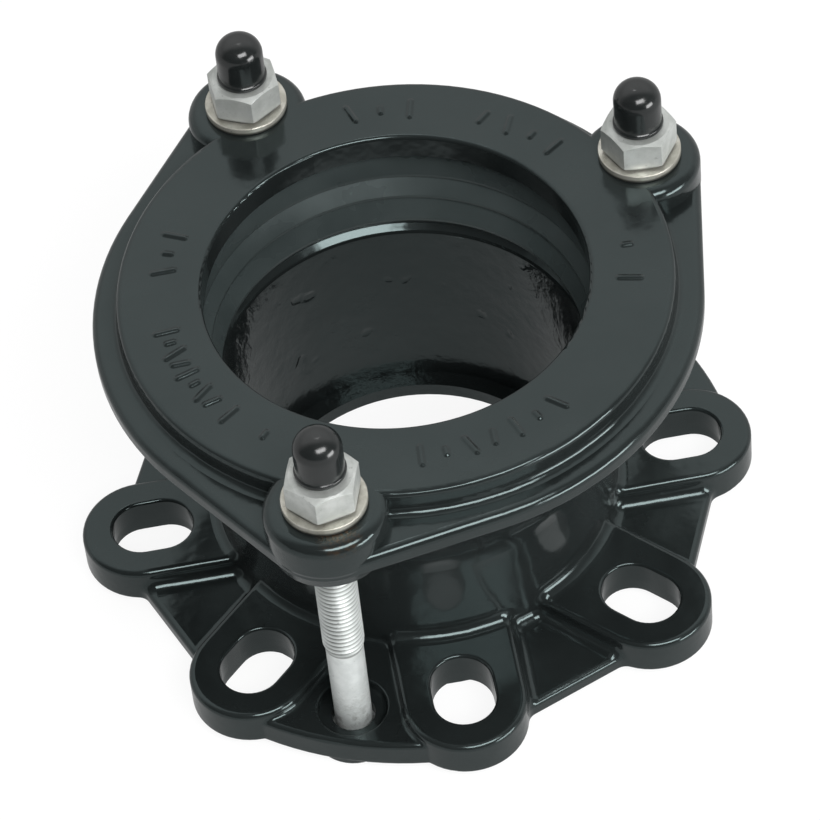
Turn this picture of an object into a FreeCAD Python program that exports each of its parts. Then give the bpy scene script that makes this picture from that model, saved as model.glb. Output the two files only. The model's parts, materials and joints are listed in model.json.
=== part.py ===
import FreeCAD, Part
import math
import operator
import os
from types import SimpleNamespace

import Sketcher
from FreeCAD import Placement, Rotation, Vector

# Flange adaptor for a plain-ended pipe: a slotted cast flange with a sleeve, a clamping ring that is
# drawn down on it by three bolts, and a wedge gasket that the ring squeezes onto the pipe.
# Frame: the origin is on the pipe axis in the plane of the joint face, and +Z points at the clamping
# ring. Heights are measured from the joint face. Lengths are in millimetres, angles in degrees.

SIZES = {
    # Joint face and sleeve
    "face_radius": 66.0,        # raised joint face
    "face_height": 3.0,         # joint face to the underside of the flange
    "lip_radius": 46.0,         # bore through the lip behind the joint face
    "lip_height": 4.5,          # joint face to the top of that lip
    "ledge_radius": 51.3,       # sleeve bore just above the lip
    "mouth_radius": 54.0,       # sleeve bore at its upper mouth
    "mouth_depth": 13.1,        # rim down to the mouth
    "mouth_rounding": 1.4,
    "sleeve_wall": 4.8,         # mouth to the outside of the sleeve
    "flare_start": 50.0,        # height at which the sleeve starts to flare
    "flare_rise": 21.0,
    "flare_reach": 12.7,        # how far the flare carries the rim outwards
    "flare_rounding": 24.0,
    "rim_face": 7.0,            # height of the rim's outer face
    "rim_land": 2.9,            # width of the rim's top
    "rim_rounding": 1.5,
    "cone_depth": 11.8,         # rim down to the foot of the gasket cone
    "cone_step": 1.4,           # mouth out to the foot of the gasket cone
    # Lobed flange
    "lobe_count": 8,
    "lobe_wall": 8.9,           # slot to the side of its lobe
    "lobe_shift": 3.2,          # slot circle to the centre of the lobe's round end
    "pad_thickness": 11.7,      # underside of the flange to the top of the lobes
    "web_chord": 86.0,          # axis to the straight edge of a web between two lobes
    "web_thickness": 5.3,
    "blend_rounding": 4.0,      # lobes into the plain webs and the sleeve
    "edge_rounding": 1.8,       # every upper edge of the flange
    "under_rounding": 1.0,      # lower edge of the flange
    "slot_circle": 80.0,        # axis to the middle of each slot
    "slot_play": 3.0,           # middle of a slot to the centre of either end
    "slot_radius": 9.0,         # half the width of a slot
    "slot_rim": 1.0,            # rounding of the slot's upper rim
    "core_spread": 0.5,         # the cored lower part of a slot is two holes, this much further apart
    "core_height": 4.0,
    # Webs that hold the bolts
    "bolt_web_margin": 13.1,    # bolt circle to the web's rim
    "bolt_web_thickness": 8.8,
    "bolt_web_overlap": 0.85,   # the web runs on into the lobes to this share of half the pitch
    "bolt_web_blend": 1.5,      # lobes into the bolt webs
    "recess_radius": 10.0,      # shallow round recess where the bolt comes out
    "recess_depth": 3.0,
    "recess_rim": 0.8,
    "boss_radius": 12.3,        # boss under the web, round the bolt's head
    "boss_drop": 2.7,           # how far it stands below the flange
    "boss_rounding": 0.8,
    # Clamping ring
    "ring_lift": 12.6,          # rim of the sleeve up to the ring's skirt
    "ring_bore": 55.2,
    "ring_bore_rounding": 1.2,
    "ring_width": 24.3,         # bore to the edge of the flat top
    "ring_rounding": 1.8,
    "step_height": 7.7,         # shelf up to the flat top
    "shelf_width": 7.8,
    "shelf_rounding": 2.6,      # flat top's wall into the shelf
    "skirt_height": 6.1,
    "skirt_rounding": 2.6,
    "skirt_under_rounding": 1.0,
    "back_set": 1.8,            # between the two close lugs the flat top is narrower by this
    "back_shelf_width": 6.3,
    "back_rounding": 5.0,       # skirt into the lugs there
    "back_overlap": 6.0,        # the narrower part runs on into the lugs to this angle from a bolt
    "lug_margin": 5.5,          # washer to the lug's edge
    "lug_rounding": 3.6,
    "lug_drop": 3.7,            # how far the lugs reach below the skirt
    "lug_taper_height": 6.5,
    "lug_taper": 1.5,
    "lug_bottom_rounding": 1.5,
    "lug_hole": 7.0,
    "lug_inset": 0.2,           # the skirt's outline runs this far inside the lug
    "land_height": 8.0,         # depth of the ring's bore
    "land_width": 4.4,
    "roof_step": 0.8,           # underside of the land up to what presses on the gasket
    "cavity_gap": 0.6,          # gasket cone out to the wall of the ring's hollow
    "mouth_gap": 3.5,           # rim out to the mouth of the ring's hollow
    # Gasket
    "gasket_top_wall": 9.4,     # thickness at the top
    "ridge_radius_1": 57.5,
    "ridge_rise_1": 18.6,       # foot of the gasket up to the ridge
    "ridge_radius_2": 54.95,
    "ridge_rise_2": 12.3,
    "ridge_radius_3": 52.6,
    "ridge_rise_3": 5.0,
    "ridge_land": 0.9,          # height of each ridge's face
    "ridge_back": 0.9,          # how far the gasket steps back under a ridge
    "ridge_rounding": 0.35,
    "gasket_lift": 1.2,         # foot of the cone up to the foot of the gasket
    "gasket_gap": 0.3,          # gasket to the sleeve and to the ring
    # Bolts, nuts, washers and caps
    "bolt_circle": 83.2,
    "bolt_angle_1": 247.5,
    "bolt_angle_2": 112.5,
    "bolt_angle_3": 22.5,
    "thread_radius": 6.0,
    "thread_depth": 0.58,       # thread's crest down to the plain shank
    "thread_length": 86.2,
    "bolt_projection": 10.5,    # nut up to the end of the bolt
    "bolt_end_chamfer": 0.9,
    "head_flats": 18.0,
    "head_height": 4.0,
    "head_gap": 0.3,            # bolt's head to the sides of its pocket
    "bolt_hole_gap": 0.4,       # thread's crest to the hole in the flange
    "washer_radius": 12.0,
    "washer_hole_gap": 0.5,
    "washer_thickness": 2.5,
    "washer_rounding": 0.3,
    "nut_flats": 19.0,
    "nut_height": 10.0,
    "nut_gap": 0.06,            # nut's bore to the thread's crest
    "nut_chamfer_share": 0.94,  # the chamfer starts at this share of the half width
    "nut_chamfer_angle": 30.0,
    "nut_turn_1": 13.0,         # direction of one corner of each nut
    "nut_turn_2": 35.0,
    "nut_turn_3": -4.0,
    "cap_wall": 0.8,
    "cap_height": 15.2,
    "cap_hem": 1.3,             # height of the thicker hem at its open end
    "cap_hem_step": 0.4,
    "cap_hem_rounding": 0.5,
    "cap_dome": 5.9,
    "cap_gap": 0.1,             # cap to the thread and to the nut
    "cap_crown": 3.2,           # thickness over the end of the bolt
    "cap_lift_1": 0.8,          # how much further out each cap sits
    "cap_lift_2": 0.0,
    "cap_lift_3": 0.0,
    # Room for the cutting forms
    "past": 1.0,                # how far they run past what they cut
}

doc = FreeCAD.newDocument("FlangeAdaptor")
sheet = doc.addObject("Spreadsheet::Sheet", "Sizes")
for row, (alias, number) in enumerate(SIZES.items(), start=1):
    sheet.set(f"A{row}", alias)
    sheet.set(f"B{row}", str(number))
    sheet.setAlias(f"B{row}", alias)
doc.recompute()


class Size:
    """A number worked out from the sheet's cells, with the expression that says how."""

    def __init__(self, value, text):
        self.value = float(value)
        self.text = text

    def __add__(self, other):
        return joined(self, "+", other, operator.add)

    def __radd__(self, other):
        return joined(other, "+", self, operator.add)

    def __sub__(self, other):
        return joined(self, "-", other, operator.sub)

    def __rsub__(self, other):
        return joined(other, "-", self, operator.sub)

    def __mul__(self, other):
        return joined(self, "*", other, operator.mul)

    def __rmul__(self, other):
        return joined(other, "*", self, operator.mul)

    def __truediv__(self, other):
        return joined(self, "/", other, operator.truediv)

    def __rtruediv__(self, other):
        return joined(other, "/", self, operator.truediv)

    def __neg__(self):
        return joined(0, "-", self, operator.sub)


def sized(number):
    """A plain number as a Size, and a Size as it is."""
    return number if isinstance(number, Size) else Size(number, repr(float(number)))


def joined(first, sign, second, work):
    first, second = sized(first), sized(second)
    return Size(work(first.value, second.value), f"({first.text} {sign} {second.text})")


def cosine(angle):
    return Size(math.cos(math.radians(angle.value)), f"cos({angle.text} * 1 deg)")


def sine(angle):
    return Size(math.sin(math.radians(angle.value)), f"sin({angle.text} * 1 deg)")


def tangent(angle):
    return Size(math.tan(math.radians(angle.value)), f"tan({angle.text} * 1 deg)")


s = SimpleNamespace(**{alias: Size(number, f"Sizes.{alias}") for alias, number in SIZES.items()})
pitch = 360 / s.lobe_count
half_pitch = 180 / s.lobe_count
hex_step = 360 / sized(6)

sleeve_radius = s.mouth_radius + s.sleeve_wall
flare_end = s.flare_start + s.flare_rise
rim_radius = sleeve_radius + s.flare_reach
rim_height = flare_end + s.rim_face
mouth_height = rim_height - s.mouth_depth
cone_foot_radius = s.mouth_radius + s.cone_step
cone_foot_height = rim_height - s.cone_depth
cone_mouth_radius = rim_radius - s.rim_land

lobe_end = s.slot_circle + s.lobe_shift
lobe_half_width = s.slot_radius + s.lobe_wall
pad_height = s.face_height + s.pad_thickness
web_height = s.face_height + s.web_thickness
bolt_web_height = s.face_height + s.bolt_web_thickness
bolt_web_radius = s.bolt_circle + s.bolt_web_margin
recess_floor = bolt_web_height - s.recess_depth
boss_bottom = s.face_height - s.boss_drop
head_seat = boss_bottom + s.head_height

skirt_bottom = rim_height + s.ring_lift
shelf_height = skirt_bottom + s.skirt_height
ring_height = shelf_height + s.step_height
ring_radius = s.ring_bore + s.ring_width
skirt_radius = ring_radius + s.shelf_width
back_radius = ring_radius - s.back_set
back_skirt_radius = back_radius + s.back_shelf_width
lug_radius = s.washer_radius + s.lug_margin
lug_bottom = skirt_bottom - s.lug_drop
land_bottom = ring_height - s.land_height
land_radius = s.ring_bore + s.land_width
cavity_roof = land_bottom + s.roof_step

washer_top = ring_height + s.washer_thickness
nut_top = washer_top + s.nut_height
bolt_top = nut_top + s.bolt_projection
shank_radius = s.thread_radius - s.thread_depth
bolt_angles = (s.bolt_angle_1, s.bolt_angle_2, s.bolt_angle_3)


def bind(thing, path, size):
    """Ties one property of an object to the sheet."""
    thing.setExpression(path, sized(size).text)


def new_body(label):
    body = doc.addObject("PartDesign::Body", label)
    body.Label = label
    return body


def origin_part(body, role):
    return next(part for part in body.Origin.OriginFeatures if part.Role == role)


def sketch_on(body, name, plane="XY_Plane", height=None, turn=None):
    """An empty sketch on one of the body's own planes, moved along its normal and turned about Z."""
    sketch = body.newObject("Sketcher::SketchObject", name)
    sketch.AttachmentSupport = (origin_part(body, plane), [""])
    sketch.MapMode = "FlatFace"
    start = Vector(0, 0, height.value if height else 0)
    about = Vector(0, 0, 1) if plane == "XY_Plane" else Vector(0, 1, 0)
    sketch.AttachmentOffset = Placement(start, Rotation(about, turn.value if turn else 0))
    if height:
        bind(sketch, "AttachmentOffset.Base.z", height)
    if turn:
        bind(sketch, "AttachmentOffset.Rotation.Angle", turn)
    return sketch


def hold(sketch, geometry, point, x, y):
    """Ties one point of a sketch to its two coordinates."""
    for axis, kind, size in ((-2, "DistanceX", sized(x)), (-1, "DistanceY", sized(y))):
        if abs(size.value) < 1e-9:
            sketch.addConstraint(Sketcher.Constraint("PointOnObject", geometry, point, axis))
            continue
        tie = Sketcher.Constraint(kind, -1, 1, geometry, point, size.value)
        bind(sketch, f"Constraints[{sketch.addConstraint(tie)}]", size)


def hold_radius(sketch, geometry, radius):
    tie = sketch.addConstraint(Sketcher.Constraint("Radius", geometry, radius.value))
    bind(sketch, f"Constraints[{tie}]", radius)


def corners(sketch, points):
    """A closed outline of straight runs, each corner held by its two coordinates.

    A corner with a third number is rounded to that radius."""
    places = [Vector(sized(point[0]).value, sized(point[1]).value, 0) for point in points]
    count = len(points)
    for index in range(count):
        sketch.addGeometry(Part.LineSegment(places[index], places[(index + 1) % count]), False)
    for index in range(count):
        sketch.addConstraint(Sketcher.Constraint("Coincident", index, 2, (index + 1) % count, 1))
    for index, point in enumerate(points):
        hold(sketch, index, 1, point[0], point[1])
    for index, point in enumerate(points):
        if len(point) == 3:
            soften(sketch, (index - 1) % count, index, point[2])
    return sketch


def soften(sketch, before, after, radius):
    """Rounds the corner between two runs of an outline."""
    picked = []
    for run in (before, after):
        line = sketch.Geometry[run]
        picked.append((line.StartPoint + line.EndPoint) / 2)
    sketch.fillet(before, after, picked[0], picked[1], radius.value, True, True, False)
    hold_radius(sketch, sketch.GeometryCount - 2, radius)


def circle(sketch, x, radius):
    """A circle whose centre is on the sketch's own X axis."""
    round_edge = Part.Circle(Vector(sized(x).value, 0, 0), Vector(0, 0, 1), radius.value)
    geometry = sketch.addGeometry(round_edge, False)
    hold(sketch, geometry, 3, x, 0)
    hold_radius(sketch, geometry, radius)
    return sketch


def arc_through(centre, radius, start, end):
    """An arc, counter-clockwise, between two directions in degrees."""
    full = Part.Circle(Vector(centre[0], centre[1], 0), Vector(0, 0, 1), radius)
    return Part.ArcOfCircle(full, math.radians(start), math.radians(end))


def long_hole(sketch, near, far, radius):
    """A slot along the sketch's X axis, between two round ends."""
    low, high, r = sized(near).value, sized(far).value, radius.value
    far_end = sketch.addGeometry(arc_through((high, 0), r, -90, 90), False)
    top = sketch.addGeometry(Part.LineSegment(Vector(high, r, 0), Vector(low, r, 0)), False)
    near_end = sketch.addGeometry(arc_through((low, 0), r, 90, 270), False)
    bottom = sketch.addGeometry(Part.LineSegment(Vector(low, -r, 0), Vector(high, -r, 0)), False)
    for this, following in ((far_end, top), (top, near_end), (near_end, bottom), (bottom, far_end)):
        sketch.addConstraint(Sketcher.Constraint("Tangent", this, 2, following, 1))
    hold(sketch, far_end, 3, far, 0)
    hold(sketch, near_end, 3, near, 0)
    hold_radius(sketch, far_end, radius)
    return sketch


def raised(body, name, sketch, length):
    pad = body.newObject("PartDesign::Pad", name)
    pad.Profile = sketch
    pad.Length = sized(length).value
    bind(pad, "Length", length)
    return pad


def sunk(body, name, sketch, length):
    """Cuts along the sketch's normal towards -Z, and makes sure that something was cut."""
    doc.recompute()
    before = body.Tip.Shape.Volume
    pocket = body.newObject("PartDesign::Pocket", name)
    pocket.Profile = sketch
    pocket.Length = sized(length).value
    bind(pocket, "Length", length)
    doc.recompute()
    if pocket.Shape.Volume > before - 1e-3:
        raise RuntimeError(f"{name} cuts nothing")
    return pocket


def turned(body, name, points, kind="PartDesign::Revolution", middle=None, sweep=None):
    """Turns an outline in radius and height about the body's Z axis.

    With a sweep the turn is that angle wide, half of it on each side of the direction middle."""
    profile = corners(sketch_on(body, name + "_profile", "XZ_Plane", turn=middle), points)
    feature = body.newObject(kind, name)
    feature.Profile = profile
    feature.ReferenceAxis = (origin_part(body, "Z_Axis"), [""])
    feature.Angle = 360
    if sweep:
        feature.Midplane = True
        feature.Angle = sweep.value
        bind(feature, "Angle", sweep)
    return feature


def repeated(body, name, features):
    """The features once for each lobe."""
    pattern = body.newObject("PartDesign::PolarPattern", name)
    pattern.Originals = features
    pattern.Axis = (origin_part(body, "Z_Axis"), [""])
    pattern.Angle = 360
    bind(pattern, "Occurrences", s.lobe_count)
    body.Tip = pattern
    doc.recompute()
    return pattern


def meeting(shape, edge):
    """Says whether the two faces at an edge meet in a ridge, in a hollow or smoothly."""
    faces = shape.ancestorsOfType(edge, Part.Face)
    if len(faces) != 2:
        return "smooth"
    parameter = (edge.FirstParameter + edge.LastParameter) / 2
    middle = edge.valueAt(parameter)
    first, second = (face.normalAt(*face.Surface.parameter(middle)) for face in faces)
    if first.getAngle(second) < math.radians(3):
        return "smooth"
    step = 0.02
    inward = first.cross(edge.tangentAt(parameter)).normalize() * step
    if faces[0].distToShape(Part.Vertex(middle + inward))[0] > step / 4:
        inward = -inward
    return "hollow" if inward.dot(second) > 0 else "ridge"


def rounded(body, name, radius, wanted, kind=None):
    """Rounds the edges of the body's last feature that wanted(edge, middle) picks."""
    doc.recompute()
    base = body.Tip
    shape = base.Shape
    names = []
    for index, edge in enumerate(shape.Edges, start=1):
        if edge.Degenerated:
            continue
        middle = edge.valueAt((edge.FirstParameter + edge.LastParameter) / 2)
        if wanted(edge, middle) and (kind is None or meeting(shape, edge) == kind):
            names.append(f"Edge{index}")
    if not names:
        raise RuntimeError(f"{name} finds no edge")
    fillet = body.newObject("PartDesign::Fillet", name)
    fillet.Base = (base, names)
    fillet.Refine = False
    fillet.Radius = radius.value
    bind(fillet, "Radius", radius)
    doc.recompute()
    return fillet


def near(first, second, tolerance=0.02):
    return abs(first - sized(second).value) < tolerance


def ring_edges(*places):
    """Picks whole round edges by radius and height."""
    def wanted(edge, middle):
        if not isinstance(edge.Curve, Part.Circle):
            return False
        return any(near(edge.Curve.Radius, radius.value) and near(middle.z, height)
                   for radius, height in places)
    return wanted


def away(point):
    """Distance of a point from the pipe axis."""
    return math.hypot(point.x, point.y)


def is_upright(edge):
    return isinstance(edge.Curve, Part.Line) and abs(edge.tangentAt(edge.FirstParameter).z) > 0.999


def flange_lobes(body):
    """The eight lobes and the webs that join them, with their upper edges already rounded."""
    inside = sleeve_radius - s.blend_rounding
    low, high, w = s.face_height, pad_height, lobe_half_width

    end = sketch_on(body, "lobe_end_profile", "YZ_Plane", height=lobe_end)
    corners(end, [(0, low), (w, low), (w, high, s.edge_rounding), (0, high)])
    round_end = body.newObject("PartDesign::Revolution", "lobe_end")
    round_end.Profile = end
    round_end.ReferenceAxis = (end, ["V_Axis"])
    round_end.Angle = 180
    round_end.Reversed = True

    side = sketch_on(body, "lobe_profile", "YZ_Plane", height=inside)
    corners(side, [(-w, low), (w, low), (w, high, s.edge_rounding), (-w, high, s.edge_rounding)])
    length = raised(body, "lobe", side, lobe_end - inside)

    # Seen from the middle of a web, the lobe's side starts from this point on the web's centre line.
    apex = w / sine(half_pitch)
    reach = (s.web_chord - apex) * tangent(half_pitch) + w / 2
    edge = sketch_on(body, "web_profile", "XZ_Plane", turn=half_pitch)
    corners(edge, [
        (inside, low), (s.web_chord, low), (s.web_chord, web_height, s.edge_rounding),
        (inside, web_height),
    ])
    web = raised(body, "web", edge, 2 * reach)
    web.Midplane = True
    repeated(body, "lobes", [round_end, length, web])

    for number, angle in enumerate(bolt_angles, start=1):
        turned(body, f"bolt_web_{number}", [
            (inside, low), (bolt_web_radius, low),
            (bolt_web_radius, bolt_web_height, s.edge_rounding), (inside, bolt_web_height),
        ], middle=angle, sweep=2 * half_pitch * s.bolt_web_overlap)
        doc.recompute()


def flange_blends(body):
    """The hollows where lobes, webs and sleeve meet, and the flange's lower edge."""
    foot, roof = s.face_height.value, pad_height.value + s.blend_rounding.value
    outside_sleeve = sleeve_radius.value - s.blend_rounding.value
    short_of_rim = bolt_web_radius.value - s.edge_rounding.value / 2

    def blend(edge, middle):
        return foot + 0.01 < middle.z < roof and away(middle) > outside_sleeve

    def wide_blend(edge, middle):
        over_bolt = near(middle.z, bolt_web_height) or away(middle) > short_of_rim
        return blend(edge, middle) and not over_bolt

    rounded(body, "wide_blends", s.blend_rounding, wide_blend, "hollow")
    rounded(body, "bolt_web_blends", s.bolt_web_blend, blend, "hollow")
    beyond = s.face_radius.value
    rounded(body, "under_edges", s.under_rounding,
            lambda edge, middle: near(middle.z, s.face_height) and away(middle) > beyond + 0.1,
            "ridge")


def flange_slots(body):
    """The eight slots, with their rounded upper rims and the two-hole form of their cored lower part."""
    slot_near, slot_far = s.slot_circle - s.slot_play, s.slot_circle + s.slot_play
    slot = sketch_on(body, "slot_outline", height=pad_height)
    long_hole(slot, slot_near, slot_far, s.slot_radius)
    cut = sunk(body, "slot", slot, s.pad_thickness)
    repeated(body, "slots", [cut])
    cores = []
    for name, x in (("near", slot_near - s.core_spread), ("far", slot_far + s.core_spread)):
        hole = sketch_on(body, f"{name}_core_outline", height=s.face_height + s.core_height)
        cores.append(sunk(body, f"{name}_core", circle(hole, x, s.slot_radius), s.core_height))
    repeated(body, "cores", cores)
    rounded(body, "slot_rims", s.slot_rim,
            lambda edge, middle: near(middle.z, pad_height), "ridge")


def flange_bolt_seats(body):
    """Round each bolt: a shallow recess above, and a boss below with a six-sided pocket for the head."""
    for number, angle in enumerate(bolt_angles, start=1):
        boss = sketch_on(body, f"boss_outline_{number}", height=boss_bottom, turn=angle)
        circle(boss, s.bolt_circle, s.boss_radius)
        raised(body, f"boss_{number}", boss, web_height - boss_bottom)
        recess = sketch_on(body, f"recess_outline_{number}", height=pad_height, turn=angle)
        circle(recess, s.bolt_circle, s.recess_radius)
        sunk(body, f"recess_{number}", recess, pad_height - recess_floor)
    rounded(body, "recess_rims", s.recess_rim, ring_edges((s.recess_radius, bolt_web_height)))
    rounded(body, "boss_edges", s.boss_rounding, ring_edges((s.boss_radius, boss_bottom)))
    for number, angle in enumerate(bolt_angles, start=1):
        pocket = sketch_on(body, f"head_pocket_outline_{number}", height=head_seat, turn=angle)
        hexagon(pocket, s.bolt_circle, s.head_flats + 2 * s.head_gap)
        sunk(body, f"head_pocket_{number}", pocket, s.head_height)
        hole = sketch_on(body, f"bolt_hole_outline_{number}", height=recess_floor, turn=angle)
        circle(hole, s.bolt_circle, s.thread_radius + s.bolt_hole_gap)
        sunk(body, f"bolt_hole_{number}", hole, recess_floor - head_seat)


def flange_body():
    """Cast flange: joint face, lobed flange and flared sleeve in one piece."""
    body = new_body("flange_body")
    buried = s.face_height + s.web_thickness / 2
    turned(body, "sleeve", [
        (s.lip_radius, 0),
        (s.face_radius, 0),
        (s.face_radius, buried),
        (sleeve_radius, buried),
        (sleeve_radius, s.flare_start, s.flare_rounding),
        (rim_radius, flare_end, s.rim_rounding),
        (rim_radius, rim_height, s.rim_rounding),
        (cone_mouth_radius, rim_height, s.rim_rounding / 2),
        (cone_foot_radius, cone_foot_height),
        (s.mouth_radius, mouth_height, s.mouth_rounding),
        (s.ledge_radius, s.lip_height),
        (s.lip_radius, s.lip_height),
    ])
    flange_lobes(body)
    flange_blends(body)
    flange_slots(body)
    flange_bolt_seats(body)
    return body


def hexagon(sketch, x, flats, turn=0):
    """A six-sided outline of that width across its flats, one corner at the angle turn."""
    outer = flats / (2 * cosine(hex_step / 2))
    points = []
    for index in range(6):
        angle = turn + index * hex_step
        points.append((x + outer * cosine(angle), outer * sine(angle)))
    return corners(sketch, points)


def on_circle(radius, angle, centre=(0, 0)):
    return (centre[0] + radius * math.cos(math.radians(angle)),
            centre[1] + radius * math.sin(math.radians(angle)))


def skirt_outline(sketch):
    """The skirt's plan: straight runs from each lug to the round edge, but none between the close lugs.

    There the round edge is smaller and runs into the lugs at a corner."""
    lug = lug_radius - s.lug_inset
    bolts, r, wide, small = s.bolt_circle.value, lug.value, skirt_radius.value, back_skirt_radius.value
    lean = math.degrees(math.acos((wide - r) / bolts))
    # Where the smaller edge crosses a lug, seen from the lug's centre and from the pipe's axis.
    crossing = math.degrees(math.acos((small**2 - bolts**2 - r**2) / (2 * bolts * r)))
    from_axis = math.degrees(math.acos((bolts**2 + small**2 - r**2) / (2 * bolts * small)))
    order = (s.bolt_angle_3, s.bolt_angle_2, s.bolt_angle_1)
    lugs = []
    for angle, before, after in zip(order, (lean, crossing, lean), (crossing, lean, lean)):
        a = angle.value
        arc = arc_through(on_circle(bolts, a), r, a - before, a + after)
        lugs.append(sketch.addGeometry(arc, False))
        hold(sketch, lugs[-1], 3, s.bolt_circle * cosine(angle), s.bolt_circle * sine(angle))
        hold_radius(sketch, lugs[-1], lug)

    def ends(geometry):
        shape = sketch.Geometry[geometry]
        return shape.StartPoint, shape.EndPoint

    back = arc_through((0, 0), small, order[0].value + from_axis, order[1].value - from_axis)
    back = sketch.addGeometry(back, False)
    sketch.addConstraint(Sketcher.Constraint("Coincident", lugs[0], 2, back, 1))
    sketch.addConstraint(Sketcher.Constraint("Coincident", back, 2, lugs[1], 1))
    sketch.addConstraint(Sketcher.Constraint("Coincident", back, 3, -1, 1))
    hold_radius(sketch, back, back_skirt_radius)

    for this, following, first, second in (
        (lugs[1], lugs[2], order[1], order[2]), (lugs[2], lugs[0], order[2], order[0]),
    ):
        start, stop = first.value + lean, first.value + (second.value - first.value) % 360 - lean
        rim = sketch.addGeometry(arc_through((0, 0), wide, start, stop), False)
        run_out = Part.LineSegment(ends(this)[1], ends(rim)[0])
        run_in = Part.LineSegment(ends(rim)[1], ends(following)[0])
        out = sketch.addGeometry(run_out, False)
        into = sketch.addGeometry(run_in, False)
        for one, other in ((this, out), (out, rim), (rim, into), (into, following)):
            sketch.addConstraint(Sketcher.Constraint("Tangent", one, 2, other, 1))
        sketch.addConstraint(Sketcher.Constraint("Coincident", rim, 3, -1, 1))
        hold_radius(sketch, rim, skirt_radius)
    return sketch


def top_plate(body, name, radius, middle, sweep):
    """Part of the ring's flat top, with its bore, its rounded edge and its hollow foot on the shelf."""
    foot = radius + s.shelf_rounding
    turned(body, name, [
        (s.ring_bore, land_bottom),
        (s.ring_bore, ring_height, s.ring_bore_rounding),
        (radius, ring_height, s.ring_rounding),
        (radius, shelf_height, s.shelf_rounding),
        (foot + s.skirt_rounding / 10, shelf_height),
        (foot + s.skirt_rounding / 10, land_bottom),
    ], middle=middle, sweep=sweep)


def ring_blank():
    """The clamping ring without its lugs: the skirt, the shelf and the flat top with its bore."""
    body = new_body("ring_blank")
    skirt = skirt_outline(sketch_on(body, "skirt_outline", height=skirt_bottom))
    raised(body, "skirt", skirt, s.skirt_height)
    rounded(body, "skirt_corners", s.back_rounding, lambda edge, middle: is_upright(edge), "hollow")
    rounded(body, "skirt_edge", s.skirt_rounding,
            lambda edge, middle: near(middle.z, shelf_height), "ridge")
    rounded(body, "skirt_under_edge", s.skirt_under_rounding,
            lambda edge, middle: near(middle.z, skirt_bottom), "ridge")
    back = (s.bolt_angle_2 + s.bolt_angle_3) / 2
    back_sweep = s.bolt_angle_2 - s.bolt_angle_3 - 2 * s.back_overlap
    top_plate(body, "top_plate", ring_radius, back + 180, 360 - back_sweep)
    doc.recompute()
    top_plate(body, "back_top_plate", back_radius, back, back_sweep)
    turned(body, "bore", [
        (0, skirt_bottom - s.past),
        (s.ring_bore, skirt_bottom - s.past),
        (s.ring_bore, shelf_height + s.past),
        (0, shelf_height + s.past),
    ], "PartDesign::Groove")
    return body


def placed(body, angle, turn=None):
    """Puts a body that was drawn round its own Z axis on the bolt circle."""
    body.Placement = Placement(Vector(0, 0, 0), Rotation(Vector(0, 0, 1), turn.value if turn else 0))
    bind(body, "Placement.Base.x", s.bolt_circle * cosine(angle))
    bind(body, "Placement.Base.y", s.bolt_circle * sine(angle))
    doc.recompute()
    return body


def end_ring():
    """Cast clamping ring with three lugs, hollow underneath for the gasket."""
    blank = ring_blank()
    lugs, holes = [], []
    for number, angle in enumerate(bolt_angles, start=1):
        lug = new_body(f"lug_{number}")
        turned(lug, f"lug_form_{number}", [
            (0, lug_bottom),
            (lug_radius - s.lug_taper, lug_bottom, s.lug_bottom_rounding),
            (lug_radius, lug_bottom + s.lug_taper_height),
            (lug_radius, ring_height, s.lug_rounding),
            (0, ring_height),
        ])
        lugs.append(placed(lug, angle))
        hole = doc.addObject("Part::Cylinder", f"lug_hole_{number}")
        bind(hole, "Radius", s.lug_hole)
        bind(hole, "Height", ring_height - lug_bottom + 2 * s.past)
        bind(hole, "Placement.Base.x", s.bolt_circle * cosine(angle))
        bind(hole, "Placement.Base.y", s.bolt_circle * sine(angle))
        bind(hole, "Placement.Base.z", lug_bottom - s.past)
        holes.append(hole)
    cast = doc.addObject("Part::MultiFuse", "ring_casting")
    cast.Shapes = [blank] + lugs
    hollow = new_body("ring_hollow")
    turned(hollow, "ring_hollow_form", [
        (0, lug_bottom - s.past),
        (rim_radius + s.mouth_gap, lug_bottom - s.past),
        (rim_radius + s.mouth_gap, skirt_bottom),
        (cone_mouth_radius + s.cavity_gap, cavity_roof),
        (land_radius, cavity_roof),
        (land_radius, land_bottom),
        (0, land_bottom),
    ])
    tools = doc.addObject("Part::MultiFuse", "ring_openings")
    tools.Shapes = [hollow] + holes
    ring = doc.addObject("Part::Cut", "end_ring")
    ring.Base = cast
    ring.Tool = tools
    ring.Refine = True
    return ring


def gasket():
    """Rubber wedge gasket with three sealing ridges, seated in the cone at the end of the sleeve."""
    body = new_body("gasket")
    steep = (cone_mouth_radius - cone_foot_radius) / s.cone_depth
    foot_height = cone_foot_height + s.gasket_lift
    foot_radius = cone_foot_radius + s.gasket_lift * steep - s.gasket_gap
    outer = cone_mouth_radius - s.gasket_gap
    top = cavity_roof - s.gasket_gap
    shoulder = land_bottom - s.gasket_gap

    def ridge(radius, rise):
        """A ridge's face, and the step back under it."""
        height = foot_height + rise
        face = [(radius, height, s.ridge_rounding), (radius, height - s.ridge_land, s.ridge_rounding)]
        return face, (radius + s.ridge_back, height - s.ridge_land - s.ridge_back)

    first, under_first = ridge(s.ridge_radius_1, s.ridge_rise_1)
    second, under_second = ridge(s.ridge_radius_2, s.ridge_rise_2)
    third, _ = ridge(s.ridge_radius_3, s.ridge_rise_3)
    turned(body, "gasket_form", [
        (land_radius + s.gasket_gap, top),
        (land_radius + s.gasket_gap, shoulder),
        (cone_mouth_radius - s.gasket_top_wall, shoulder),
        *first, under_first,
        *second, under_second,
        *third,
        (foot_radius - s.ridge_back, foot_height),
        (foot_radius, foot_height),
        (outer, rim_height),
        (outer, top),
    ])
    return body


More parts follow.
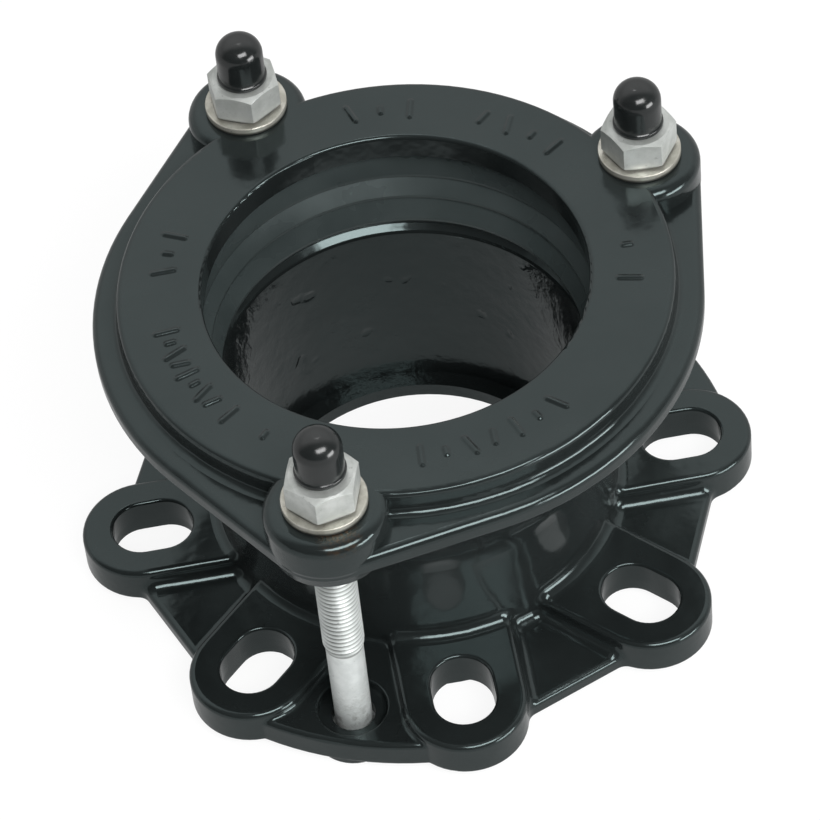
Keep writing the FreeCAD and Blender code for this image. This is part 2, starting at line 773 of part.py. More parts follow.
def bolt(number, angle):
    """Bolt with a six-sided head held in the flange; the fine thread isn't cut here."""
    body = new_body(f"bolt_{number}")
    head = hexagon(sketch_on(body, "head_outline", height=boss_bottom), 0, s.head_flats)
    raised(body, "head", head, s.head_height)
    thread_start = bolt_top - s.thread_length
    turned(body, "shank", [
        (0, boss_bottom),
        (shank_radius, boss_bottom),
        (shank_radius, thread_start),
        (s.thread_radius, thread_start + s.thread_depth),
        (s.thread_radius, bolt_top - s.bolt_end_chamfer),
        (s.thread_radius - s.bolt_end_chamfer, bolt_top),
        (0, bolt_top),
    ])
    return placed(body, angle, angle)


def washer(number, angle):
    body = new_body(f"washer_{number}")
    hole = s.thread_radius + s.washer_hole_gap
    turned(body, "washer_form", [
        (hole, ring_height),
        (s.washer_radius, ring_height, s.washer_rounding),
        (s.washer_radius, washer_top, s.washer_rounding),
        (hole, washer_top),
    ])
    return placed(body, angle)


def nut(number, angle, turn):
    """Six-sided nut, chamfered at both ends."""
    body = new_body(f"nut_{number}")
    outline = hexagon(sketch_on(body, "nut_outline", height=washer_top), 0, s.nut_flats, turn)
    raised(body, "nut_blank", outline, s.nut_height)
    start = s.nut_flats / 2 * s.nut_chamfer_share
    beyond = s.nut_flats
    fall = (beyond - start) * tangent(s.nut_chamfer_angle)
    turned(body, "upper_chamfer", [
        (start, nut_top), (beyond, nut_top), (beyond, nut_top - fall),
    ], "PartDesign::Groove")
    turned(body, "lower_chamfer", [
        (start, washer_top), (beyond, washer_top + fall), (beyond, washer_top),
    ], "PartDesign::Groove")
    bore = circle(sketch_on(body, "nut_bore_outline", height=nut_top), 0, s.thread_radius + s.nut_gap)
    sunk(body, "nut_bore", bore, s.nut_height)
    return placed(body, angle)


def cap(number, angle, lift):
    """Soft cap pushed over the end of the bolt, above the nut."""
    body = new_body(f"cap_{number}")
    base = nut_top + s.cap_gap + lift
    inside = s.thread_radius + s.cap_gap
    wall = inside + s.cap_wall
    hem = wall + s.cap_hem_step
    crown = base + s.cap_height
    turned(body, "cap_form", [
        (inside, base),
        (hem, base, s.cap_hem_rounding),
        (hem, base + s.cap_hem, s.cap_hem_rounding),
        (wall, base + s.cap_hem + s.cap_hem_step),
        (wall, crown, s.cap_dome),
        (0, crown),
        (0, crown - s.cap_crown),
        (inside, crown - s.cap_crown),
    ])
    return placed(body, angle)


def check(thing):
    """Stops if anything in the document failed or the shape isn't one sound solid."""
    doc.recompute()
    for part in doc.Objects:
        bad = {"Invalid", "Error"} & set(part.State)
        if bad:
            raise RuntimeError(f"{part.Label} is {sorted(bad)}")
    shape = thing.Shape
    if shape.isNull() or not shape.isValid() or not shape.Solids:
        raise RuntimeError(f"{thing.Label} has no sound shape")


os.makedirs("parts", exist_ok=True)
pieces = [flange_body(), end_ring(), gasket()]
turns = (s.nut_turn_1, s.nut_turn_2, s.nut_turn_3)
lifts = (s.cap_lift_1, s.cap_lift_2, s.cap_lift_3)
for number, angle in enumerate(bolt_angles, start=1):
    pieces.append(bolt(number, angle))
    pieces.append(washer(number, angle))
    pieces.append(nut(number, angle, turns[number - 1]))
    pieces.append(cap(number, angle, lifts[number - 1]))
for piece in pieces:
    check(piece)
    print(piece.Label, len(piece.Shape.Solids), round(piece.Shape.Volume), piece.Shape.BoundBox)
for piece in pieces:
    piece.Shape.exportStep(f"parts/{piece.Label}.step")
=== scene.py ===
import json
import math

import bmesh
import bpy
from mathutils import Matrix, Vector

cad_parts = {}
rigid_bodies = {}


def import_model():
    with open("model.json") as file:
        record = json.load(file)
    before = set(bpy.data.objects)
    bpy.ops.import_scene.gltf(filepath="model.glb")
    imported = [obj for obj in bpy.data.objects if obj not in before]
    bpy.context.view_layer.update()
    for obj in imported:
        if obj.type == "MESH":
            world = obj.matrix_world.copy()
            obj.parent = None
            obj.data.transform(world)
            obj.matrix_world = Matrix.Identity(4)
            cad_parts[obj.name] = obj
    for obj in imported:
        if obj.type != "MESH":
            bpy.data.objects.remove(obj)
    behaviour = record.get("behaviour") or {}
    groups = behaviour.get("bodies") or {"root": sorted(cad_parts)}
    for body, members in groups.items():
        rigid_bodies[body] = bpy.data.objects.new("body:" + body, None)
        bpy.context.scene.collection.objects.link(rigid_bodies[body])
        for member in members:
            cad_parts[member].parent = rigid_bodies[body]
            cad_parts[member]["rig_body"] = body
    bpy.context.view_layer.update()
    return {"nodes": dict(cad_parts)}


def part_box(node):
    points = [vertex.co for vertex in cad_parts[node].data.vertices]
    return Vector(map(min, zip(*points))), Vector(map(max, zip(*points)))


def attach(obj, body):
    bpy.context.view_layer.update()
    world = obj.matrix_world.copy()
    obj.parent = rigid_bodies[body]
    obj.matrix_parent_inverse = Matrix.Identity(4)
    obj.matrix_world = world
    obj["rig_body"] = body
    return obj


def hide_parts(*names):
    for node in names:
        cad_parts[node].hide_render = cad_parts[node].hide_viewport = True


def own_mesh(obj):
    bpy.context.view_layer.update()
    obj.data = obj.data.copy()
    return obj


# Flange adaptor: a slotted cast flange with a sleeve, a clamping ring on three bolts and a wedge
# gasket between them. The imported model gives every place. Lengths are in metres.

MM = 0.001
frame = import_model()
nodes = frame["nodes"]

# Camera: the photograph's own angle, distance and crop

PHOTO_SIDE = 820                        # pixels
FOCAL_LENGTH = 4490.4                   # pixels
OPTICAL_CENTRE = (440.0, 412.9)         # pixels from the photograph's top left corner
CAMERA_AZIMUTH = math.radians(-5.035)
CAMERA_ELEVATION = math.radians(49.381)
CAMERA_ROLL = math.radians(-5.971)
CAMERA_DISTANCE = 1302.2 * MM
CAMERA_TARGET = Vector((7.85, -10.08, 54.8)) * MM
SENSOR_WIDTH = 36.0
CLIP_START, CLIP_END = 0.05, 50.0


def make_camera():
    """The photograph's camera, turned about its own line of sight by the roll."""
    level = math.cos(CAMERA_ELEVATION)
    back = Vector((
        math.sin(CAMERA_AZIMUTH) * level,
        -math.cos(CAMERA_AZIMUTH) * level,
        math.sin(CAMERA_ELEVATION),
    ))
    right = Vector((0, 0, 1)).cross(back).normalized()
    up = back.cross(right)
    turn = Matrix.Rotation(CAMERA_ROLL, 3, back)
    right, up = turn @ right, turn @ up
    camera = bpy.data.objects.new("camera", bpy.data.cameras.new("camera"))
    bpy.context.scene.collection.objects.link(camera)
    axes = Matrix((right, up, back)).transposed().to_4x4()
    camera.matrix_world = Matrix.Translation(CAMERA_TARGET + back * CAMERA_DISTANCE) @ axes
    camera.data.sensor_width = SENSOR_WIDTH
    camera.data.lens = FOCAL_LENGTH / PHOTO_SIDE * SENSOR_WIDTH
    camera.data.shift_x = 0.5 - OPTICAL_CENTRE[0] / PHOTO_SIDE
    camera.data.shift_y = OPTICAL_CENTRE[1] / PHOTO_SIDE - 0.5
    camera.data.clip_start = CLIP_START
    camera.data.clip_end = CLIP_END
    bpy.context.scene.camera = camera


# Node trees


class Tree:
    """A short way to write a node tree."""

    def __init__(self, node_tree):
        self.nodes = node_tree.nodes
        self.links = node_tree.links

    def add(self, kind, **values):
        node = self.nodes.new(kind)
        for name, value in values.items():
            setattr(node, name, value)
        return node

    def link(self, source, target):
        self.links.new(source, target)

    def feed(self, socket, value):
        """Sets a socket to a number or a colour, or links it to another node's output."""
        if isinstance(value, (int, float)):
            socket.default_value = value
        elif isinstance(value, tuple):
            socket.default_value = (*value, 1)
        else:
            self.link(value, socket)

    def place(self):
        """Coordinates in the object's own metres, which stay with it as it moves."""
        return self.add("ShaderNodeTexCoord").outputs["Object"]

    def split(self, vector):
        """The vector's X, Y and Z."""
        apart = self.add("ShaderNodeSeparateXYZ")
        self.link(vector, apart.inputs[0])
        return tuple(apart.outputs)

    def math(self, operation, *values):
        node = self.add("ShaderNodeMath", operation=operation)
        for socket, value in zip(node.inputs, values):
            self.feed(socket, value)
        return node.outputs[0]

    def radius(self, x, y):
        """The distance from the object's Z axis."""
        squares = self.math("ADD", self.math("MULTIPLY", x, x), self.math("MULTIPLY", y, y))
        return self.math("SQRT", squares)

    def noise(self, vector, scale, detail=3.0, roughness=0.5):
        node = self.add("ShaderNodeTexNoise")
        node.inputs["Scale"].default_value = scale
        node.inputs["Detail"].default_value = detail
        node.inputs["Roughness"].default_value = roughness
        self.link(vector, node.inputs["Vector"])
        return node.outputs["Fac"]

    def ramp(self, factor, *stops):
        """Each stop is (position, grey or colour)."""
        node = self.add("ShaderNodeValToRGB")
        elements = node.color_ramp.elements
        while len(elements) < len(stops):
            elements.new(0.5)
        for element, (position, colour) in zip(elements, stops):
            element.position = position
            grey = isinstance(colour, (int, float))
            element.color = (colour, colour, colour, 1) if grey else (*colour, 1)
        self.link(factor, node.inputs["Fac"])
        return node.outputs["Color"]

    def fade(self, value, full, none, most=1.0):
        """The most up to where the value is full, then falling evenly to 0 where it is none."""
        node = self.add("ShaderNodeMapRange")
        node.inputs["From Min"].default_value = full
        node.inputs["From Max"].default_value = none
        node.inputs["To Min"].default_value = most
        node.inputs["To Max"].default_value = 0.0
        self.link(value, node.inputs["Value"])
        return node.outputs["Result"]

    def mix(self, factor, first, second):
        """Two colours; the node keeps its colour sockets at places 6 and 7, and its result at 2."""
        node = self.add("ShaderNodeMix", data_type="RGBA")
        for place, value in ((0, factor), (6, first), (7, second)):
            self.feed(node.inputs[place], value)
        return node.outputs[2]

    def bump(self, height, distance, strength, normal=None):
        node = self.add("ShaderNodeBump")
        node.inputs["Strength"].default_value = strength
        node.inputs["Distance"].default_value = distance
        self.link(height, node.inputs["Height"])
        if normal:
            self.link(normal, node.inputs["Normal"])
        return node.outputs["Normal"]


def new_material(name):
    """A new material, its node tree and its shader."""
    material = bpy.data.materials.new(name)
    material.use_nodes = True
    return material, Tree(material.node_tree), material.node_tree.nodes["Principled BSDF"]


# Iron: castings under a dark epoxy coat

IRON_DARK = (0.0115, 0.0140, 0.0140)
IRON_LIGHT = (0.0150, 0.0180, 0.0180)
COAT_INDEX = 1.5                        # the coat's index of refraction
COAT_GLOSS = (0.80, 1.0, 1.0)           # a faint green in what the coat mirrors
SLEEVE_INSIDE = 55.0 * MM               # the sleeve's bore lies within this radius
SLEEVE_MOUTH = 64.0 * MM                # and below this height
RUST = (0.060, 0.030, 0.012)
STAIN_OFFSET = Vector((2.0, -12.3, -1.3)) * MM      # from the middle of the front washer
STAIN_REACH = 7.0 * MM


def inside_sleeve(tree, place):
    """1 in the sleeve's bore and 0 elsewhere."""
    x, y, height = tree.split(place)
    within = tree.math("LESS_THAN", tree.radius(x, y), SLEEVE_INSIDE)
    below = tree.math("LESS_THAN", height, SLEEVE_MOUTH)
    return tree.math("MULTIPLY", within, below)


def rust_stain(tree, place):
    """Grains of rust that have run out from under the front washer."""
    low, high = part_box("washer_1")
    away = tree.add("ShaderNodeVectorMath", operation="DISTANCE")
    tree.link(place, away.inputs[0])
    away.inputs[1].default_value = (low + high) / 2 + STAIN_OFFSET
    near = tree.fade(away.outputs["Value"], 0.2 * STAIN_REACH, STAIN_REACH)
    grains = tree.noise(place, scale=900, roughness=0.7)
    return tree.math("MULTIPLY", near, tree.ramp(grains, (0.42, 0.0), (0.62, 1.0)))


def coated_iron():
    """Dark green-grey epoxy over cast iron: glossy, with the mould's waves left under the coat.

    Inside the sleeve the casting is rougher, with lumps and pits."""
    material, tree, shader = new_material("coated_iron")
    place = tree.place()
    cloud = tree.noise(place, scale=35, detail=4)
    coat = tree.ramp(cloud, (0.35, IRON_DARK), (0.7, IRON_LIGHT))
    tree.feed(shader.inputs["Base Color"], tree.mix(rust_stain(tree, place), coat, RUST))
    tree.feed(shader.inputs["Roughness"], tree.ramp(cloud, (0.3, 0.11), (0.7, 0.18)))
    tree.feed(shader.inputs["IOR"], COAT_INDEX)
    tree.feed(shader.inputs["Specular Tint"], COAT_GLOSS)

    swell = tree.noise(place, scale=42, detail=1)
    waves = tree.noise(place, scale=130, detail=2)
    pits = tree.ramp(tree.noise(place, scale=75, detail=2, roughness=0.6), (0.28, 0.0), (0.34, 1.0))
    lumps = tree.noise(place, scale=190, detail=4, roughness=0.6)
    rough = tree.math("ADD", lumps, tree.math("MULTIPLY", pits, 0.8))
    rough = tree.math("MULTIPLY", rough, inside_sleeve(tree, place))
    grain = tree.noise(place, scale=420, detail=2)
    normal = tree.bump(swell, distance=1.2 * MM, strength=0.45)
    normal = tree.bump(waves, distance=0.35 * MM, strength=0.45, normal=normal)
    normal = tree.bump(rough, distance=0.6 * MM, strength=0.5, normal=normal)
    normal = tree.bump(grain, distance=0.05 * MM, strength=0.20, normal=normal)
    tree.feed(shader.inputs["Normal"], normal)
    return material


# Rubber and plastic

RUBBER_DARK = (0.040, 0.051, 0.051)
RUBBER_LIGHT = (0.053, 0.066, 0.066)
RUBBER_GLOSS = (0.85, 1.0, 1.0)
PLASTIC_DARK = (0.010, 0.012, 0.012)
PLASTIC_LIGHT = (0.014, 0.016, 0.016)


def gasket_rubber():
    """Black rubber with a fine grain."""
    material, tree, shader = new_material("gasket_rubber")
    place = tree.place()
    cloud = tree.noise(place, scale=60)
    tree.feed(shader.inputs["Base Color"], tree.ramp(cloud, (0.3, RUBBER_DARK), (0.7, RUBBER_LIGHT)))
    tree.feed(shader.inputs["Specular Tint"], RUBBER_GLOSS)
    tree.feed(shader.inputs["Roughness"], tree.ramp(cloud, (0.3, 0.24), (0.7, 0.34)))
    grain = tree.noise(place, scale=600, detail=2)
    tree.feed(shader.inputs["Normal"], tree.bump(grain, distance=0.04 * MM, strength=0.4))
    return material


def cap_plastic():
    """Glossy black plastic with slight moulding waves."""
    material, tree, shader = new_material("cap_plastic")
    place = tree.place()
    cloud = tree.noise(place, scale=220)
    tree.feed(shader.inputs["Base Color"], tree.ramp(cloud, (0.3, PLASTIC_DARK), (0.7, PLASTIC_LIGHT)))
    tree.feed(shader.inputs["Roughness"], tree.ramp(cloud, (0.3, 0.14), (0.7, 0.22)))
    waves = tree.noise(place, scale=260, detail=2)
    tree.feed(shader.inputs["Normal"], tree.bump(waves, distance=0.06 * MM, strength=0.3))
    return material


# Coated steel: bolts, nuts and washers

THREAD_LENGTH = 86.2 * MM
THREAD_ROOT = (5.30 * MM, 5.82 * MM)    # painted shade darkens the thread's roots within the first radius, and is gone past the second
# the colour of the painted shade in the thread's roots
ROOT_PAINTED_SHADE = (0.13, 0.14, 0.13)
FOOT_SOIL = (0.15, 0.155, 0.14)
FOOT_SOIL_HEIGHT = (9.0 * MM, 26.0 * MM)            # thick below the first height, gone at the second
NUT_EDGE = 0.25 * MM                    # radius at which a nut's edges catch the light
# painted shade: the dark seam where a nut or washer sits on the piece below
JOINT_PAINTED_SHADE = (0.04, 0.04, 0.035)
JOINT_PAINTED_SHADE_HEIGHT = 1.3 * MM            # how far the painted shade reaches up from a joint


def coated_steel(name, light, dark, roughness, metallic, eased=0.0):
    """Matt silver-grey flake coating on steel, with darker handling marks and a few specks.

    The edges catch the light as if they were rounded by the eased radius. The colour that comes
    back with the material isn't joined to the shader yet."""
    material, tree, shader = new_material(name)
    place = tree.place()
    cloud = tree.noise(place, scale=160, detail=5, roughness=0.6)
    handled = tree.mix(tree.ramp(cloud, (0.38, 0.0), (0.62, 1.0)), dark, light)
    specks = tree.ramp(tree.noise(place, scale=620, roughness=0.7), (0.66, 0.0), (0.72, 0.75))
    colour = tree.mix(specks, handled, tuple(0.5 * share for share in dark))
    sheen = tree.ramp(cloud, (0.3, roughness + 0.12), (0.7, roughness - 0.06))
    tree.feed(shader.inputs["Roughness"], sheen)
    tree.feed(shader.inputs["Metallic"], metallic)
    normal = None
    if eased:
        edges = tree.add("ShaderNodeBevel")
        edges.inputs["Radius"].default_value = eased
        normal = edges.outputs["Normal"]
    flakes = tree.noise(place, scale=1500, detail=2)
    normal = tree.bump(flakes, distance=0.03 * MM, strength=0.5, normal=normal)
    tree.feed(shader.inputs["Normal"], normal)
    return material, tree, shader, colour


def painted_joint_shade(tree, colour, foot):
    """The colour, with painted shade where the piece's underside, at the height foot, meets the next
    piece.
    """
    height = tree.split(tree.place())[2]
    above = tree.math("SUBTRACT", height, foot)
    # painted shade, darkest at the underside and fading out above it
    joint_shade = tree.fade(above, 0.45 * JOINT_PAINTED_SHADE_HEIGHT, JOINT_PAINTED_SHADE_HEIGHT, most=0.92)
    return tree.mix(joint_shade, colour, JOINT_PAINTED_SHADE)


def bolt_steel():
    """The coated steel of the bolts: painted shade in the thread's roots, and soiled towards the foot."""
    material, tree, shader, colour = coated_steel(
        "coated_steel_bolt", light=(0.64, 0.67, 0.66), dark=(0.52, 0.55, 0.54),
        roughness=0.42, metallic=0.35)
    place = tree.place()
    x, y, height = tree.split(place)
    # painted shade in the thread's roots, where the crests shade the grooves
    root = tree.fade(tree.radius(x, y), *THREAD_ROOT, most=0.8)
    threaded = tree.math("GREATER_THAN", height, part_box("bolt_1")[1].z - THREAD_LENGTH)
    colour = tree.mix(tree.math("MULTIPLY", root, threaded), colour, ROOT_PAINTED_SHADE)
    low = tree.fade(height, *FOOT_SOIL_HEIGHT)
    soil = tree.noise(place, scale=330, detail=6, roughness=0.72)
    soil = tree.math("MULTIPLY", low, tree.ramp(soil, (0.47, 0.0), (0.66, 0.9)))
    tree.feed(shader.inputs["Base Color"], tree.mix(soil, colour, FOOT_SOIL))
    return material


def nut_steel():
    material, tree, shader, colour = coated_steel(
        "coated_steel_nut", light=(0.54, 0.56, 0.54), dark=(0.41, 0.43, 0.41),
        roughness=0.40, metallic=0.42, eased=NUT_EDGE)
    # painted shade along the nut's foot
    colour = painted_joint_shade(tree, colour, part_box("nut_1")[0].z)
    tree.feed(shader.inputs["Base Color"], colour)
    return material


def washer_steel():
    material, tree, shader, colour = coated_steel(
        "coated_steel_washer", light=(0.57, 0.56, 0.50), dark=(0.36, 0.35, 0.30),
        roughness=0.34, metallic=0.6)
    # painted shade along the washer's foot
    colour = painted_joint_shade(tree, colour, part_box("washer_1")[0].z)
    tree.feed(shader.inputs["Base Color"], colour)
    return material


MATERIALS = {
    "coated_iron": coated_iron(),
    "gasket_rubber": gasket_rubber(),
    "coated_steel_bolt": bolt_steel(),
    "coated_steel_nut": nut_steel(),
    "coated_steel_washer": washer_steel(),
    "cap_plastic": cap_plastic(),
}


def finish_with(piece, slot):
    """Gives a piece the material of that slot."""
    piece.data.materials.clear()
    piece.data.materials.append(MATERIALS[slot])


# Stage: a white floor and plain studio light

FLOOR_HALF = 6.0
FLOOR_DROP = 0.2 * MM                   # keeps the floor clear of the joint face
FLOOR_COLOUR = (0.86, 0.86, 0.86)
FLOOR_GLOW = 0.35                       # the sheet that the object stands on is lit from below as well
FLOOR_IN_REFLECTIONS = 0.47
SHADOW_SHOWN = 0.16                     # share of the object's shadow that the camera sees
WHITE = (1.0, 1.0, 1.0)


def floor_white():
    """A sheet that looks white, and shows only part of the shadow that falls on it."""
    material, tree, shader = new_material("floor_white")
    output = tree.nodes["Material Output"]
    tree.nodes.remove(shader)
    sheet = tree.add("ShaderNodeBsdfDiffuse")
    tree.feed(sheet.inputs["Color"], FLOOR_COLOUR)
    below = tree.add("ShaderNodeEmission")
    tree.feed(below.inputs["Strength"], FLOOR_GLOW)
    real = tree.add("ShaderNodeAddShader")
    tree.link(sheet.outputs[0], real.inputs[0])
    tree.link(below.outputs[0], real.inputs[1])
    rays = tree.add("ShaderNodeLightPath")
    direct = tree.math("MAXIMUM", rays.outputs["Is Camera Ray"], rays.outputs["Is Transmission Ray"])
    seen = tree.math("MAXIMUM", direct, rays.outputs["Is Glossy Ray"])
    glow = tree.add("ShaderNodeEmission")
    tree.feed(glow.inputs["Strength"], tree.math("MAXIMUM", direct, FLOOR_IN_REFLECTIONS))
    mixed = tree.add("ShaderNodeMixShader")
    tree.link(tree.math("MULTIPLY", seen, 1 - SHADOW_SHOWN), mixed.inputs[0])
    tree.link(real.outputs[0], mixed.inputs[1])
    tree.link(glow.outputs[0], mixed.inputs[2])
    tree.link(mixed.outputs[0], output.inputs["Surface"])
    return material


def make_floor():
    mesh = bpy.data.meshes.new("floor")
    corners = [(x * FLOOR_HALF, y * FLOOR_HALF, 0) for x, y in ((-1, -1), (1, -1), (1, 1), (-1, 1))]
    mesh.from_pydata(corners, [], [(0, 1, 2, 3)])
    mesh.materials.append(floor_white())
    floor = bpy.data.objects.new("floor", mesh)
    bpy.context.scene.collection.objects.link(floor)
    floor.location.z = -FLOOR_DROP


def make_world():
    """Bright walls and ceiling, darker on the photographer's side; white to the camera itself."""
    world = bpy.data.worlds.new("studio")
    bpy.context.scene.world = world
    world.use_nodes = True
    tree = Tree(world.node_tree)
    direction = tree.add("ShaderNodeTexCoord").outputs["Generated"]
    y, z = tree.split(direction)[1:]
    height = tree.ramp(z, (0.0, 0.62), (0.35, 0.62), (0.7, 1.0))
    behind = tree.math("MULTIPLY_ADD", y, 0.5, 0.5)
    side = tree.ramp(behind, (0.15, 0.10), (0.45, 0.22), (0.64, 1.08))
    light = tree.math("MULTIPLY", height, side)
    rays = tree.add("ShaderNodeLightPath")
    background = tree.nodes["Background"]
    tree.feed(background.inputs["Color"], tree.mix(rays.outputs["Is Camera Ray"], light, WHITE))
    tree.feed(background.inputs["Strength"], 1.0)


LAMP_DISTANCE = 1.7
LAMP_AIM = Vector((0, 0, 0.06))
LAMPS = {      # azimuth and elevation from the front, width and height in metres, power
    "window_front": (16, 50, (1.1, 0.55), 22),
    "window_right": (50, 9, (0.9, 0.45), 15),
    "window_back": (176, 64, (0.14, 0.14), 0.35),
}


def make_lamps():
    for name, (azimuth, elevation, size, power) in LAMPS.items():
        around, up = math.radians(azimuth), math.radians(elevation)
        level = math.cos(up)
        toward = Vector((math.sin(around) * level, -math.cos(around) * level, math.sin(up)))
        lamp = bpy.data.lights.new(name, "AREA")
        lamp.shape = "RECTANGLE"
        lamp.size, lamp.size_y = size
        lamp.energy = power
        holder = bpy.data.objects.new(name, lamp)
        bpy.context.scene.collection.objects.link(holder)
        holder.location = toward * LAMP_DISTANCE
        holder.rotation_mode = "QUATERNION"
        holder.rotation_quaternion = (LAMP_AIM - holder.location).to_track_quat("-Z", "Y")


# Shading: edges that turn by more than the angle, in degrees, stay sharp

CASTING_EDGES = 40
TURNED_EDGES = 50
FLAT_EDGES = 30
NO_EDGES = 180


def shade(mesh, sharp_from):
    mesh.polygons.foreach_set("use_smooth", [True] * len(mesh.polygons))
    mesh.set_sharp_from_angle(angle=math.radians(sharp_from))


def even_faces(piece, sharp_from):
    """Smooth shading in which broad flat faces stay flat beside their rounded edges."""
    shade(piece.data, sharp_from)
    weigh = piece.modifiers.new("even_faces", "WEIGHTED_NORMAL")
    weigh.mode = "FACE_AREA"
    weigh.keep_sharp = True


def new_piece(name, mesh, slot, body, sharp_from, place=(0, 0, 0)):
    """A piece that rides on the body and takes the slot's finish."""
    piece = bpy.data.objects.new(name, mesh)
    bpy.context.scene.collection.objects.link(piece)
    piece.location = place
    finish_with(piece, slot)
    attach(piece, body)
    shade(mesh, sharp_from)
    return piece


def mesh_from(form, name):
    """Turns a form into a mesh and frees it."""
    mesh = bpy.data.meshes.new(name)
    form.to_mesh(mesh)
    form.free()
    return mesh


# Castings and the marks on the ring

MARK_HEIGHT = 0.75 * MM
MARK_WIDTH = 2.8 * MM
MARK_LENGTH = 9.0 * MM
MARK_RADIUS = 66.5 * MM
MARK_GROUPS = (     # first angle, last angle, how many
    (153, 165, 3), (185, 211, 8), (217, 228, 2), (267, 303, 7), (347, 358, 2), (77, 92, 3), (37, 58, 4),
)
MARK_LENGTHS = (1.0, 0.55, 1.0, 0.8)    # shares of the full length, in turn
MARK_LEANS = (0, 0, 16, -14)            # degrees away from the ring's radius, in turn
MARK_SINK = 0.05 * MM
MARK_ROWS, MARK_COLUMNS = 24, 8


def make_castings():
    for name in ("flange_body", "end_ring"):
        finish_with(nodes[name], "coated_iron")
        even_faces(nodes[name], CASTING_EDGES)


def add_mark(form, middle, along, length):
    """A soft raised bar: highest along its middle line, running out into the surface."""
    across = Vector((0, 0, 1)).cross(along)
    half, reach = length / 2, MARK_WIDTH / 2
    grid = []
    for row in range(MARK_ROWS + 1):
        u = (2 * row / MARK_ROWS - 1) * half
        line = []
        for column in range(MARK_COLUMNS + 1):
            v = (2 * column / MARK_COLUMNS - 1) * reach
            beyond = max(abs(u) - (half - reach), 0)
            share = min(math.hypot(beyond, v) / reach, 1)
            rise = MARK_HEIGHT * (0.5 + 0.5 * math.cos(math.pi * share)) - MARK_SINK
            line.append(form.verts.new(middle + along * u + across * v + Vector((0, 0, rise))))
        grid.append(line)
    for this, following in zip(grid, grid[1:]):
        for column in range(MARK_COLUMNS):
            form.faces.new((this[column], following[column],
                            following[column + 1], this[column + 1]))


def make_marks():
    """Groups of plain raised bars where the casting carries its lettering."""
    top = Vector((0, 0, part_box("end_ring")[1].z))
    form = bmesh.new()
    for first, last, count in MARK_GROUPS:
        for index in range(count):
            angle = math.radians(first + (last - first) * index / (count - 1))
            outward = Vector((math.cos(angle), math.sin(angle), 0))
            length = MARK_LENGTH * MARK_LENGTHS[index % len(MARK_LENGTHS)]
            lean = math.radians(MARK_LEANS[index % len(MARK_LEANS)])
            along = Matrix.Rotation(lean, 3, "Z") @ outward
            add_mark(form, outward * MARK_RADIUS + top, along, length)
    bmesh.ops.recalc_face_normals(form, faces=form.faces)
    mesh = mesh_from(form, "ring_marks")
    new_piece("ring_marks", mesh, "coated_iron", nodes["end_ring"]["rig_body"], NO_EDGES)


# Gasket


def make_gasket():
    """The gasket with its three ridges, as the solid gives them."""
    source = nodes["gasket"]
    mesh = source.data.copy()
    piece = new_piece("gasket_soft", mesh, "gasket_rubber", source["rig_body"], FLAT_EDGES)
    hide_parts("gasket")
    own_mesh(piece)


# Bolts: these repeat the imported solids, and add the thread that they leave out

CREST_RADIUS = 6.0 * MM
SHANK_RADIUS = 5.42 * MM
THREAD_PITCH = 1.75 * MM
THREAD_DEPTH = 1.05 * MM
THREAD_PROFILE = (1.0, 0.72, 0.2, 0.0, 0.2, 0.72)   # height at equal steps along one pitch
THREAD_RUNOUT = 2.5 * MM
THREAD_AROUND = 40
END_CHAMFER = 0.9 * MM
HEAD_HEIGHT = 4.0 * MM
HEAD_FLATS = 18.0 * MM
SAME_POINT = 0.002 * MM
SIDES = 6


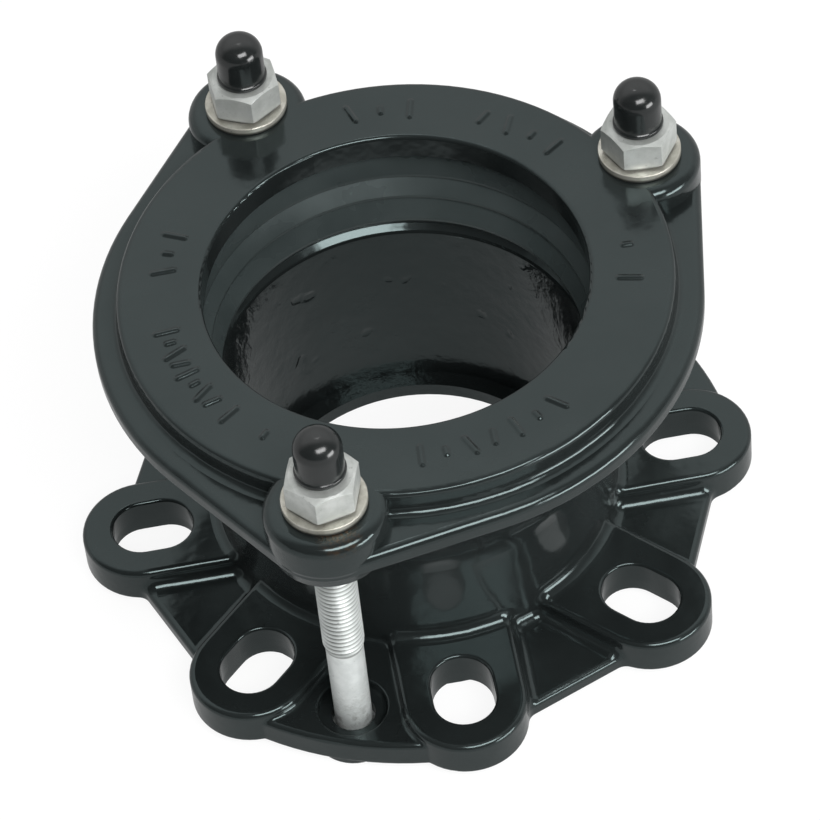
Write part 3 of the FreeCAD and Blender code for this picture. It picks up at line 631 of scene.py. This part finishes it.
def add_threaded_bar(form, bottom, top):
    """A closed round bar from bottom to top with a rolled thread on its upper part."""
    start = top - THREAD_LENGTH
    along = len(THREAD_PROFILE)
    rows = math.ceil(along * (THREAD_LENGTH / THREAD_PITCH + 2))
    foot, columns = [], []
    for step in range(THREAD_AROUND):
        share = step / THREAD_AROUND
        outward = Vector((math.cos(math.tau * share), math.sin(math.tau * share), 0))
        foot.append(form.verts.new(outward * SHANK_RADIUS + Vector((0, 0, bottom))))
        column = []
        for row in range(rows + 1):
            height = start + THREAD_PITCH * (row / along + share - 1)
            height = min(max(height, start), top)
            radius = CREST_RADIUS - THREAD_DEPTH * (1 - THREAD_PROFILE[row % along])
            grown = min((height - start) / THREAD_RUNOUT, 1)
            radius = SHANK_RADIUS + (radius - SHANK_RADIUS) * grown
            radius = min(radius, CREST_RADIUS - END_CHAMFER + top - height)
            column.append(form.verts.new(outward * radius + Vector((0, 0, height))))
        columns.append(column)
    for step in range(THREAD_AROUND):
        after = (step + 1) % THREAD_AROUND
        this, following = columns[step], columns[after]
        shift = along if after == 0 else 0      # the helix has climbed one pitch
        form.faces.new((foot[step], foot[after], following[shift], this[0]))
        for row in range(rows - shift):
            form.faces.new((this[row], following[row + shift],
                            following[row + shift + 1], this[row + 1]))
    form.faces.new(reversed(foot))
    bmesh.ops.remove_doubles(form, verts=form.verts, dist=SAME_POINT)
    rim = [edge for edge in form.edges if edge.is_boundary]
    bmesh.ops.holes_fill(form, edges=rim)


def add_head(form, bottom, turn):
    """A six-sided head with one corner in the direction turn."""
    outer = HEAD_FLATS / 2 / math.cos(math.pi / SIDES)
    ends = []
    for z in (bottom, bottom + HEAD_HEIGHT):
        angles = [turn + math.tau * side / SIDES for side in range(SIDES)]
        ends.append([form.verts.new((outer * math.cos(angle), outer * math.sin(angle), z))
                     for angle in angles])
    low, high = ends
    form.faces.new(reversed(low))
    form.faces.new(high)
    for side in range(SIDES):
        after = (side + 1) % SIDES
        form.faces.new((low[side], low[after], high[after], high[side]))


def make_bolt(number):
    """The bolt with its thread; its head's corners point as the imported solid's do."""
    name = f"bolt_{number}"
    low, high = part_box(name)
    axis = (low + high) / 2
    form = bmesh.new()
    add_threaded_bar(form, low.z + HEAD_HEIGHT / 2, high.z)
    add_head(form, low.z, math.atan2(axis.y, axis.x))
    mesh = mesh_from(form, name + "_threaded")
    piece = new_piece(name + "_threaded", mesh, "coated_steel_bolt", nodes[name]["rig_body"],
                      TURNED_EDGES, (axis.x, axis.y, 0))
    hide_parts(name)


def make_fasteners():
    for number in (1, 2, 3):
        make_bolt(number)
        nut, washer, cap = (nodes[f"{kind}_{number}"] for kind in ("nut", "washer", "cap"))
        finish_with(nut, "coated_steel_nut")
        shade(nut.data, FLAT_EDGES)
        finish_with(washer, "coated_steel_washer")
        even_faces(washer, TURNED_EDGES)
        finish_with(cap, "cap_plastic")
        even_faces(cap, TURNED_EDGES)


make_camera()
make_world()
make_floor()
make_lamps()
make_castings()
make_marks()
make_gasket()
make_fasteners()

scene = bpy.context.scene
scene.view_settings.view_transform = "Standard"
